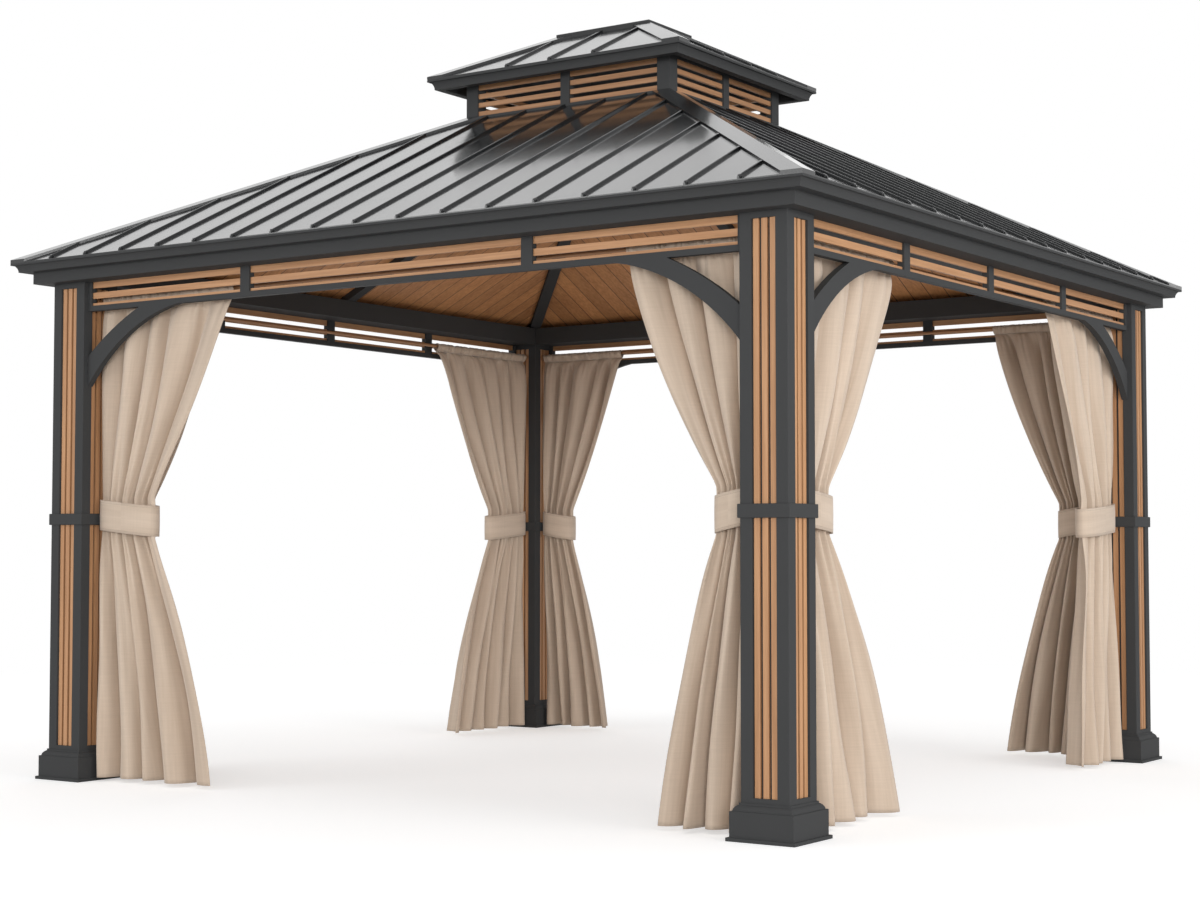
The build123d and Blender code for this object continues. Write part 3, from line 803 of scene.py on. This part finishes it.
# folded clips that close the foot of each standing seam, on the main roof and the upper one
seamClips = {
    "width": 0.012,
    "length": 0.016,
    "height": 0.012,
    "setback": 0.016,
    "bevel": 0.003,
    "bevelSteps": 3,
    "sheet": 0.0045,
    "rows": {
        "roof_panel_front": {"eachSide": 8, "pitch": 0.22},
        "upper_roof": {"eachSide": 1, "pitch": 0.238},
    },
}


def clipSeams(wall):
    lean = math.radians(plan["pitch"])
    half = seamClips["height"] / 2
    bm = bmesh.new()
    for node, row in seamClips["rows"].items():
        corners = [vert.co for vert in nodes[node].data.vertices]
        out = max(corner.x for corner in corners) - plan["halfX"] - seamClips["setback"]
        eaveHeight = min(corner.z for corner in corners)
        rise = eaveHeight + seamClips["setback"] * math.tan(lean) + seamClips["sheet"]
        for index in range(-row["eachSide"], row["eachSide"] + 1):
            made = bmesh.ops.create_cube(bm, size=1)["verts"]
            size = (seamClips["width"], seamClips["length"], seamClips["height"])
            bmesh.ops.scale(bm, vec=size, verts=made)
            bmesh.ops.rotate(bm, matrix=Matrix.Rotation(lean, 3, "X"), verts=made)
            across, away = index * row["pitch"], out + half * math.sin(lean)
            bmesh.ops.translate(bm, vec=Vector((across, -away, rise + half * math.cos(lean))), verts=made)
    bmesh.ops.bevel(
        bm, geom=bm.edges[:], offset=seamClips["bevel"], offset_type="OFFSET", affect="EDGES",
        segments=seamClips["bevelSteps"], profile=0.5, material=-1, clamp_overlap=True,
    )
    smoothFaces(bm)
    bmesh.ops.transform(bm, matrix=wallFrame(wall), verts=bm.verts)
    addPiece(f"seam_clips_{wall}", bm, materials["roofMetal"])


for wall in wallTurns:
    clipSeams(wall)
print("seams clipped")

# rolled hems along the tops of the standing seams
seamHems = {
    "radius": 0.0042,
    "lift": 0.0064,
    "sides": 12,
    "start": 0.022,
    "capHalf": 0.0633,
    "endRoom": 0.010,
    "bevel": 0.0015,
    "bevelSteps": 2,
    "topOut": {"roof_panel_front": -1.3175, "upper_roof": -1.6185},
}


def hemSeams(wall):
    lean = math.radians(plan["pitch"])
    bm = bmesh.new()
    for node, row in seamClips["rows"].items():
        corners = [vert.co for vert in nodes[node].data.vertices]
        eaveOut = max(corner.x for corner in corners) - plan["halfX"]
        eaveHeight = min(corner.z for corner in corners) + seamClips["sheet"]
        for index in range(-row["eachSide"], row["eachSide"] + 1):
            across = index * row["pitch"]
            toCap = abs(across) - wallHalf(wall) + seamHems["capHalf"] * math.sqrt(2)
            low = eaveOut - seamHems["start"]
            high = max(seamHems["topOut"][node], toCap) + seamHems["endRoom"]
            length = (low - high) / math.cos(lean)
            made = bmesh.ops.create_cone(
                bm, cap_ends=True, segments=seamHems["sides"], radius1=seamHems["radius"],
                radius2=seamHems["radius"], depth=length,
            )["verts"]
            bmesh.ops.rotate(bm, matrix=Matrix.Rotation(lean - math.pi / 2, 3, "X"), verts=made)
            middle = (low + high) / 2
            rise = eaveHeight + (eaveOut - middle) * math.tan(lean) + seamHems["lift"] / math.cos(lean)
            bmesh.ops.translate(bm, vec=Vector((across, -middle, rise)), verts=made)
    rims = [edge for edge in bm.edges if any(len(face.verts) > 4 for face in edge.link_faces)]
    bmesh.ops.bevel(
        bm, geom=rims, offset=seamHems["bevel"], offset_type="OFFSET", affect="EDGES",
        segments=seamHems["bevelSteps"], profile=0.5, material=-1, clamp_overlap=True,
    )
    smoothFaces(bm)
    bmesh.ops.transform(bm, matrix=wallFrame(wall), verts=bm.verts)
    addPiece(f"seam_hems_{wall}", bm, materials["roofMetal"])


for wall in wallTurns:
    hemSeams(wall)
print("seams hemmed")

# studio: pale floor, white surround, soft lamps and the photo's camera
studio = {
    "floorHalf": 60,
    "floorTone": (0.76, 0.76, 0.76, 1),
    "floorRoughness": 0.9,
    "floorGlow": 0.49,
    "fadeStart": 4.5,
    "fadeEnd": 9.0,
    "worldLevel": 0.62,
    "camera": {
        "place": (5.410, -8.163, 1.011), "tilt": 2.767, "turn": 34.201, "lens": 62.685, "sensor": 36,
    },
    "lamps": {
        "keyLamp": {"place": (-8.5, -16.0, 3.2), "aim": (0, 0, 1.2), "size": (8.0, 4.6), "power": 575},
        "fillLamp": {"place": (13.0, -2.5, 3.0), "aim": (0, 0, 1.3), "size": (6.0, 4.4), "power": 580},
        "frontLamp": {"place": (14.0, -20.5, 3.2), "aim": (0, 0, 1.2), "size": (12.0, 4.6), "power": 1850},
        "backLamp": {"place": (-12.0, 14.0, 3.2), "aim": (0, 0, 1.2), "size": (10.0, 4.6), "power": 700},
    },
}


def makeFloor():
    bm = bmesh.new()
    bmesh.ops.create_grid(bm, x_segments=1, y_segments=1, size=studio["floorHalf"])
    mesh = bpy.data.meshes.new("floor")
    bm.to_mesh(mesh)
    bm.free()
    floor = bpy.data.objects.new("floor", mesh)
    bpy.context.scene.collection.objects.link(floor)
    material, tree, shader = newMaterial("paleFloor")
    setInputs(shader, Roughness=studio["floorRoughness"])
    shader.inputs["Base Color"].default_value = studio["floorTone"]
    shader.inputs["Specular IOR Level"].default_value = 0.0
    place = addNode(tree, "ShaderNodeTexCoord").outputs["Object"]
    away = addNode(tree, "ShaderNodeVectorMath", operation="LENGTH")
    tree.links.new(place, away.inputs[0])
    glow = addNode(tree, "ShaderNodeEmission")
    white = addNode(tree, "ShaderNodeEmission")
    seen = seenRays(tree)
    both = addNode(tree, "ShaderNodeAddShader")
    far = addNode(tree, "ShaderNodeMixShader")
    fade = remap(tree, away.outputs["Value"], studio["fadeStart"], studio["fadeEnd"], 0, 1)
    fade = mathNode(tree, "MULTIPLY", fade, seen)
    joinSockets(
        tree,
        (mathNode(tree, "MULTIPLY", seen, studio["floorGlow"]), glow.inputs["Strength"]),
        (shader.outputs[0], both.inputs[0]),
        (glow.outputs[0], both.inputs[1]),
        (fade, far.inputs[0]),
        (both.outputs[0], far.inputs[1]),
        (white.outputs[0], far.inputs[2]),
        (far.outputs[0], tree.nodes["Material Output"].inputs["Surface"]),
    )
    mesh.materials.append(material)


def makeWorld():
    world = bpy.data.worlds.new("whiteSurround")
    world.use_nodes = True
    tree = world.node_tree
    sky = tree.nodes["Background"]
    sky.inputs["Color"].default_value = (1, 1, 1, 1)
    tree.links.new(remap(tree, seenRays(tree), 0, 1, studio["worldLevel"], 1), sky.inputs["Strength"])
    bpy.context.scene.world = world


def aimAt(thing, place, target):
    thing.location = place
    thing.rotation_euler = (Vector(target) - Vector(place)).to_track_quat("-Z", "Y").to_euler()


def makeLamps():
    for name, lamp in studio["lamps"].items():
        light = bpy.data.lights.new(name, "AREA")
        light.shape, light.energy = "RECTANGLE", lamp["power"]
        light.size, light.size_y = lamp["size"]
        thing = bpy.data.objects.new(name, light)
        bpy.context.scene.collection.objects.link(thing)
        aimAt(thing, lamp["place"], lamp["aim"])


def makeCamera():
    view = studio["camera"]
    lens = bpy.data.cameras.new("photoCamera")
    lens.lens, lens.sensor_width, lens.sensor_fit = view["lens"], view["sensor"], "HORIZONTAL"
    camera = bpy.data.objects.new("photoCamera", lens)
    bpy.context.scene.collection.objects.link(camera)
    camera.location = view["place"]
    camera.rotation_euler = (math.radians(90 + view["tilt"]), 0, math.radians(view["turn"]))
    bpy.context.scene.camera = camera


makeFloor()
makeWorld()
makeLamps()
makeCamera()
bpy.context.scene.view_settings.view_transform = "Standard"
print("studio set")
